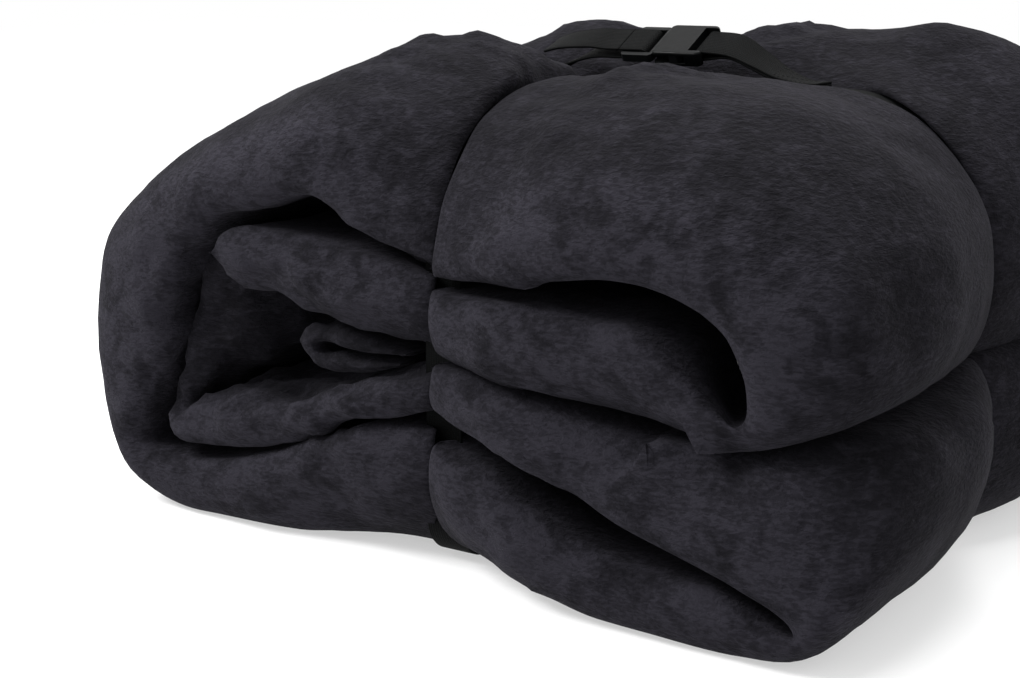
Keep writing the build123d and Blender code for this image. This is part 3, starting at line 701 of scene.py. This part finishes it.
def long_webbing():
    """Long strap, round the ends, with its buckle down the middle of the back."""
    stand = WEBBING_GAP + WEBBING_THICKNESS / 2
    loop = loop_path(LONG_LOOP, stand)
    face = LONG_LOOP[1] + stand
    # from the opening beside the socket, down the back, under, up the front, and over the top
    order = loop[14:] + loop[:14]
    route = [upright(face, 52.0)] + [upright(y, z) for y, z in order]
    bar = BACK_BUCKLE_Z - PLUG_BAR
    leaves = BACK_BUCKLE_Z - STRAP_LEAVES
    inward, outward = BACK_BUCKLE_Y - BAR_TURN, BACK_BUCKLE_Y + BAR_TURN
    ramp = softened([upright(face, 150), upright(197.3, 141), upright(199.6, 131),
                     upright(inward, leaves)])
    turn = [upright(BACK_BUCKLE_Y + BAR_TURN * math.sin(a), bar - BAR_TURN * math.cos(a))
            for a in np.radians(np.arange(-90, 91, 15))]
    doubled = face + WEBBING_THICKNESS + 0.9
    tail = softened([upright(outward, leaves), upright(204.6, 134), upright(200.9, 144),
                     upright(doubled, 152.5), upright(doubled, 163), upright(doubled, 174)])
    strip = Strip(route + ramp + turn + tail)
    end = strip.length[-1]
    strap = add_piece("long_webbing", strip.mesh("long_webbing"), "bundle",
                      ["long_strap"])
    thread = add_piece("long_thread", thread_mesh(
        "long_thread", strip, [[(end - 2.5, -10.5), (end - 2.5, 10.5)]]), "bundle")
    bar = BACK_BUCKLE_Z - SOCKET_BAR
    halves = []
    for side in (-1, 1):
        halves.append(softened([
            upright(199.9 + side * LAYER, 32), upright(199.9 + side * LAYER, 36),
            upright(201.8 + side * LAYER, 42), upright(BACK_BUCKLE_Y + side * LAYER, bar - 20),
            upright(BACK_BUCKLE_Y + side * BAR_TURN, bar)]))
    turn = [upright(BACK_BUCKLE_Y + BAR_TURN * math.sin(a), bar + BAR_TURN * math.cos(a))
            for a in np.radians(np.arange(-75, 76, 15))]
    strip = Strip(halves[0] + turn + halves[1][::-1])
    end = strip.length[-1]
    socket_web = add_piece("long_socket_web", strip.mesh("long_socket_web"), "long_socket",
                           ["long_socket_webbing"])
    socket_thread = add_piece("long_socket_thread", thread_mesh(
        "long_socket_thread", strip, box_stitch(end - 20, end - 3, 9.5)), "long_socket")
    return [strap, socket_web], [thread, socket_thread]


KEEPER_MIDDLE, KEEPER_WIDTH, KEEPER_WALL = (199.5, 160.0), 8.0, 0.7


def elastic_keeper():
    """Elastic loop round the long strap and its tail, sewn where its ends meet."""
    low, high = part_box("long_keeper")
    half_x = (high[0] - low[0]) / MM / 2 - KEEPER_WALL / 2
    half_y = (high[1] - low[1]) / MM / 2 - KEEPER_WALL / 2
    corner = 1.1
    stations = []
    for x, y, start in ((half_x, half_y, 90), (half_x, -half_y, 0), (-half_x, -half_y, -90),
                        (-half_x, half_y, -180)):
        for turn in np.radians(np.linspace(start, start - 90, 7)):
            place = (x - math.copysign(corner, x) + corner * math.cos(turn),
                     KEEPER_MIDDLE[0] + y - math.copysign(corner, y) + corner * math.sin(turn),
                     KEEPER_MIDDLE[1])
            stations.append((place, (0.0, 0.0, 1.0)))
    stations.append(((-corner, KEEPER_MIDDLE[0] + half_y, KEEPER_MIDDLE[1]), (0.0, 0.0, 1.0)))
    strip = Strip(stations, KEEPER_WIDTH, KEEPER_WALL)
    return add_piece("elastic_keeper", strip.mesh("elastic_keeper"), "long_keeper",
                     ["long_keeper"])


# ---------------------------------------------------------------- materials

class Material:
    """One material's nodes, built round a Principled shader."""

    def __init__(self, name, color, roughness, **values):
        self.material = bpy.data.materials.new(name)
        self.material.use_nodes = True
        self.tree = self.material.node_tree
        self.tree.nodes.clear()
        self.shader = self.node("ShaderNodeBsdfPrincipled")
        output = self.node("ShaderNodeOutputMaterial")
        self.tree.links.new(self.shader.outputs[0], output.inputs["Surface"])
        self.set(self.shader, {"Base Color": (*color, 1), "Roughness": roughness})
        self.set(self.shader, {key.replace("_", " "): value for key, value in values.items()})
        self.place = self.node("ShaderNodeTexCoord").outputs["Object"]

    def node(self, kind, inputs=None, **settings):
        made = self.tree.nodes.new(kind)
        for key, value in settings.items():
            setattr(made, key, value)
        self.set(made, inputs or {})
        return made

    def set(self, node, inputs):
        for key, value in inputs.items():
            if isinstance(value, bpy.types.NodeSocket):
                self.tree.links.new(value, node.inputs[key])
            else:
                node.inputs[key].default_value = value

    def stretched(self, scale, place=None):
        return self.node("ShaderNodeMapping", {"Vector": place or self.place,
                                               "Scale": scale}).outputs[0]

    def noise(self, size, detail=3, distortion=0.0, place=None, stretch=(1, 1, 1)):
        """Noise of about that grain size in millimetres, from 0 to 1."""
        return self.node("ShaderNodeTexNoise", {
            "Vector": self.stretched(stretch, place), "Scale": 1000 / size, "Detail": detail,
            "Distortion": distortion}).outputs["Fac"]

    def ramp(self, value, low, high, start=0.0, end=1.0):
        return self.node("ShaderNodeMapRange", {
            "Value": value, "From Min": low, "From Max": high, "To Min": start, "To Max": end},
            interpolation_type="SMOOTHSTEP").outputs["Result"]

    def math(self, operation, first, second=0.0, clamp=False):
        return self.node("ShaderNodeMath", {0: first, 1: second}, operation=operation,
                         use_clamp=clamp).outputs[0]

    def blend(self, share, first, second):
        return self.node("ShaderNodeMix", {"Factor": share, 6: first, 7: second},
                         data_type="RGBA").outputs[2]

    def color(self, share, dark, light):
        self.set(self.shader, {"Base Color": self.blend(share, (*dark, 1), (*light, 1))})

    def rough(self, share, low, high):
        self.set(self.shader, {"Roughness": self.ramp(share, 0.3, 0.7, low, high)})

    def bump(self, height, distance, strength=1.0, normal=None):
        """Bump of that height in millimetres."""
        inputs = {"Height": height, "Distance": distance * MM, "Strength": strength}
        if normal:
            inputs["Normal"] = normal
        made = self.node("ShaderNodeBump", inputs).outputs[0]
        self.set(self.shader, {"Normal": made})
        return made


def plush_material():
    """Short pile brushed in patches and standing up along the rims; its sheen is painted into the
    colour, as lighter patches and a painted highlight along the rims.
    """
    made = Material("plush", (0.006, 0.0055, 0.0075), 0.92, Sheen_Weight=0.022,
                    Sheen_Roughness=0.42, Sheen_Tint=(0.86, 0.82, 1.0, 1),
                    Specular_IOR_Level=0.05)
    # Painted sheen: patches and streaks of lighter colour stand for the pile, brushed different
    # ways, catching the light.
    patches = made.ramp(made.noise(70, 4, 0.9), 0.40, 0.70, 0, 0.22)
    streaks = made.ramp(made.noise(15, 4, 1.4, stretch=(1, 1, 1.8)), 0.42, 0.74, 0, 0.30)
    strokes = made.ramp(made.noise(2.4, 3, 0.4, stretch=(0.55, 0.55, 1.5)), 0.32, 0.70)
    pile = made.noise(0.95, 2, 0.2, stretch=(0.8, 0.8, 1.2))
    rim = made.node("ShaderNodeAttribute", attribute_name="rim").outputs["Fac"]
    # Painted highlight: the colour is lightened in uneven stretches along the rims, where the sheen
    # shows at the sheet's edges.
    wear_and_painted_sheen = made.math("MULTIPLY", rim, made.ramp(made.noise(20, 4, 0.8), 0.30, 0.66, 0.12, 0.75))
    brushed_sheen = made.math("ADD", made.math("ADD", patches, streaks), made.math("ADD", wear_and_painted_sheen, 0.15))
    broken = made.math("MULTIPLY", brushed_sheen, made.ramp(strokes, 0.0, 1.0, 0.66, 1.22))
    made.color(made.math("ADD", broken, made.math("MULTIPLY", pile, 0.12), clamp=True),
               (0.0006, 0.00056, 0.00075), (0.0172, 0.0162, 0.0212))
    first = made.bump(made.noise(26, 3, 1.0), 1.6, 0.7)
    second = made.bump(made.noise(7, 3, 0.8, stretch=(1, 1, 1.6)), 1.0, 0.7, first)
    third = made.bump(strokes, 0.55, 0.75, second)
    made.bump(pile, 0.5, 0.8, third)
    return made.material


def webbing_material(name, color, light, across_pitch, along_pitch, depth):
    """Woven ribs that run along a strip, from its weave coordinates in millimetres."""
    made = Material(name, color, 0.62, Specular_IOR_Level=0.04)
    grid = made.node("ShaderNodeUVMap", uv_map="weave").outputs[0]
    split = made.node("ShaderNodeSeparateXYZ", {0: grid})
    across = made.math("DIVIDE", split.outputs[0], across_pitch)
    along = made.math("DIVIDE", split.outputs[1], along_pitch)
    rib = made.math("ABSOLUTE", made.math("SINE", made.math("MULTIPLY", across, math.pi)))
    shift = made.math("MULTIPLY", made.math("FLOOR", across), 0.5)
    pick = made.math("ABSOLUTE", made.math("SINE", made.math(
        "MULTIPLY", made.math("ADD", along, shift), math.pi)))
    weave = made.math("MULTIPLY", made.math("POWER", rib, 0.6), made.ramp(pick, 0, 1, 0.45, 1))
    yarn = made.noise(0.35, 2)
    wear_and_painted_sheen = made.ramp(made.noise(24, 4), 0.5, 0.72)
    share = made.math("ADD", made.math("MULTIPLY", weave, 0.55),
                      made.math("MULTIPLY", wear_and_painted_sheen, made.math("MULTIPLY", weave, 0.5)),
                      clamp=True)
    made.color(share, color, light)
    made.rough(yarn, 0.5, 0.75)
    made.bump(made.math("ADD", weave, made.math("MULTIPLY", yarn, 0.3)), depth, 0.9)
    return made.material


def thread_material():
    made = Material("thread", (0.002, 0.002, 0.0023), 0.6, Specular_IOR_Level=0.1)
    ply = made.noise(0.5, 2, stretch=(1, 1, 2.5))
    made.color(ply, (0.0012, 0.0012, 0.0014), (0.006, 0.006, 0.0068))
    made.bump(ply, 0.12, 0.8)
    return made.material


def moulded_material(name, dark, light, roughness, grain, edge, gloss=0.45):
    """Moulded plastic: fine texture, faint flow marks, and edges rubbed lighter."""
    made = Material(name, dark, roughness, Specular_IOR_Level=gloss)
    rubbed = made.ramp(made.node("ShaderNodeNewGeometry").outputs["Pointiness"], 0.51, 0.60)
    flow = made.ramp(made.noise(22, 4, 1.2), 0.4, 0.7, 0, 0.35)
    scuffs = made.ramp(made.noise(3.5, 5, 0.5, stretch=(1, 3, 1)), 0.58, 0.74, 0, 0.35)
    made.color(made.math("ADD", made.math("ADD", flow, scuffs),
                         made.math("MULTIPLY", rubbed, edge), clamp=True), dark, light)
    made.rough(made.noise(6, 4), roughness - 0.08, roughness + 0.12)
    rounded = made.node("ShaderNodeBevel", {"Radius": 0.35 * MM}, samples=4).outputs[0]
    made.bump(made.noise(grain, 2), 0.05, 0.6, rounded)
    return made.material


def metal_material(name, dark, light, roughness):
    made = Material(name, dark, roughness, Metallic=1.0)
    marks = made.noise(1.2, 4, stretch=(1, 1, 6))
    made.color(marks, dark, light)
    made.rough(marks, roughness - 0.08, roughness + 0.15)
    made.bump(marks, 0.02, 0.5)
    return made.material


def cloth_material(name, dark, light, size):
    """Fibrous or woven layers that lie inside the sheet."""
    made = Material(name, dark, 0.85)
    fibre = made.noise(size, 4, 0.8, stretch=(1, 0.35, 1))
    cloud = made.ramp(made.noise(60, 3), 0.35, 0.7, 0, 0.4)
    made.color(made.math("ADD", made.math("MULTIPLY", fibre, 0.7), cloud, clamp=True), dark, light)
    made.bump(fibre, size * 0.12, 0.6)
    return made.material


def layer_materials():
    return {
        "felt": cloth_material("felt", (0.40, 0.39, 0.36), (0.62, 0.61, 0.57), 1.8),
        "film": metal_material("film", (0.62, 0.63, 0.66), (0.82, 0.83, 0.85), 0.30),
        "heater": cloth_material("heater", (0.02, 0.02, 0.024), (0.08, 0.08, 0.09), 0.9),
        "copper": metal_material("copper", (0.60, 0.30, 0.17), (0.80, 0.48, 0.30), 0.33),
        "lining": cloth_material("lining", (0.12, 0.12, 0.14), (0.24, 0.24, 0.27), 0.6),
    }


# Material of each CAD node that stays, by its slot in the record
def node_materials():
    buckle = moulded_material("buckle", (0.0006, 0.0008, 0.0009), (0.0055, 0.006, 0.0065),
                              0.40, 0.30, 0.5, gloss=0.10)
    return {
        "buckle": buckle,
        "inlet_plastic": moulded_material("inlet_plastic", (0.010, 0.0105, 0.0115),
                                          (0.040, 0.040, 0.043), 0.52, 0.22, 0.4),
        "contact": metal_material("contact", (0.62, 0.45, 0.20), (0.85, 0.68, 0.38), 0.28),
        "rivet": metal_material("rivet", (0.42, 0.42, 0.44), (0.66, 0.66, 0.68), 0.32),
        "thermostat": moulded_material("thermostat", (0.06, 0.06, 0.065), (0.16, 0.16, 0.17),
                                       0.42, 0.3, 0.4),
        "sensor": moulded_material("sensor", (0.30, 0.14, 0.04), (0.60, 0.34, 0.14),
                                   0.22, 0.5, 0.2),
        "wire": moulded_material("wire", (0.012, 0.012, 0.013), (0.05, 0.05, 0.055),
                                 0.5, 0.4, 0.3),
    }


def finish_cad_nodes():
    """Every CAD node that still shows takes its slot's procedural material."""
    made = node_materials()
    for row in frame["record"]["subparts"]:
        node = frame["nodes"][row["node"]]
        if row["material_slot"] in made:
            node.data.materials.clear()
            node.data.materials.append(made[row["material_slot"]])


# ---------------------------------------------------------------- stage

def area_light(name, place, aim, size, power, color=(1, 1, 1)):
    light = bpy.data.lights.new(name, "AREA")
    light.shape = "RECTANGLE"
    light.size, light.size_y = size
    light.energy = power
    light.color = color
    lamp = bpy.data.objects.new(name, light)
    bpy.context.collection.objects.link(lamp)
    lamp.location = place
    lamp.rotation_euler = (Vector(aim) - Vector(place)).to_track_quat("-Z", "Y").to_euler()


def stage():
    bpy.ops.mesh.primitive_plane_add(size=12, location=(0, 0, -0.0004))
    floor = bpy.context.object
    floor.name = "floor"
    made = Material("floor", (0.5, 0.5, 0.5), 0.9, Emission_Color=(1, 1, 1, 1),
                    Emission_Strength=0.5, Specular_IOR_Level=0.0)
    floor.data.materials.append(made.material)
    world = bpy.data.worlds.new("studio")
    world.use_nodes = True
    world.node_tree.nodes["Background"].inputs[0].default_value = (1, 1, 1, 1)
    world.node_tree.nodes["Background"].inputs[1].default_value = 1.0
    bpy.context.scene.world = world
    area_light("key", (-1.3, -1.1, 1.6), (0, -0.05, 0.12), (1.0, 0.8), 62)
    area_light("top", (0.1, 0.3, 1.9), (0, 0, 0.2), (1.1, 0.9), 34)


def add_camera():
    camera = bpy.data.objects.new("camera", bpy.data.cameras.new("camera"))
    bpy.context.collection.objects.link(camera)
    camera.location = (0.569, -0.971, 0.346)
    aim = Vector((0.022, -0.163, 0.130)) - camera.location
    camera.rotation_euler = aim.to_track_quat("-Z", "Y").to_euler()
    camera.data.lens = 61.8
    camera.data.clip_start = 0.05
    bpy.context.scene.camera = camera


add_camera()
stage()
plush = plush_material()
sheet, layers = plush_sheet()
for soft_piece in (sheet, neck_flap()):
    soft_piece.data.materials.append(plush)
layer_finish = layer_materials()
for layer, layer_slot in layers:
    layer.data.materials.append(layer_finish[layer_slot])
cross_straps, cross_threads = cross_webbing()
long_straps, long_threads = long_webbing()
weave = webbing_material("webbing", (0.0003, 0.0004, 0.00045), (0.0022, 0.0025, 0.0026),
                         1.7, 1.15, 0.28)
for strap in cross_straps + long_straps:
    strap.data.materials.append(weave)
thread = thread_material()
for stitches in cross_threads + long_threads:
    stitches.data.materials.append(thread)
elastic_keeper().data.materials.append(
    webbing_material("elastic", (0.005, 0.005, 0.0055), (0.024, 0.024, 0.026), 0.9, 0.8, 0.2))
finish_cad_nodes()
bpy.context.scene.view_settings.view_transform = "Standard"
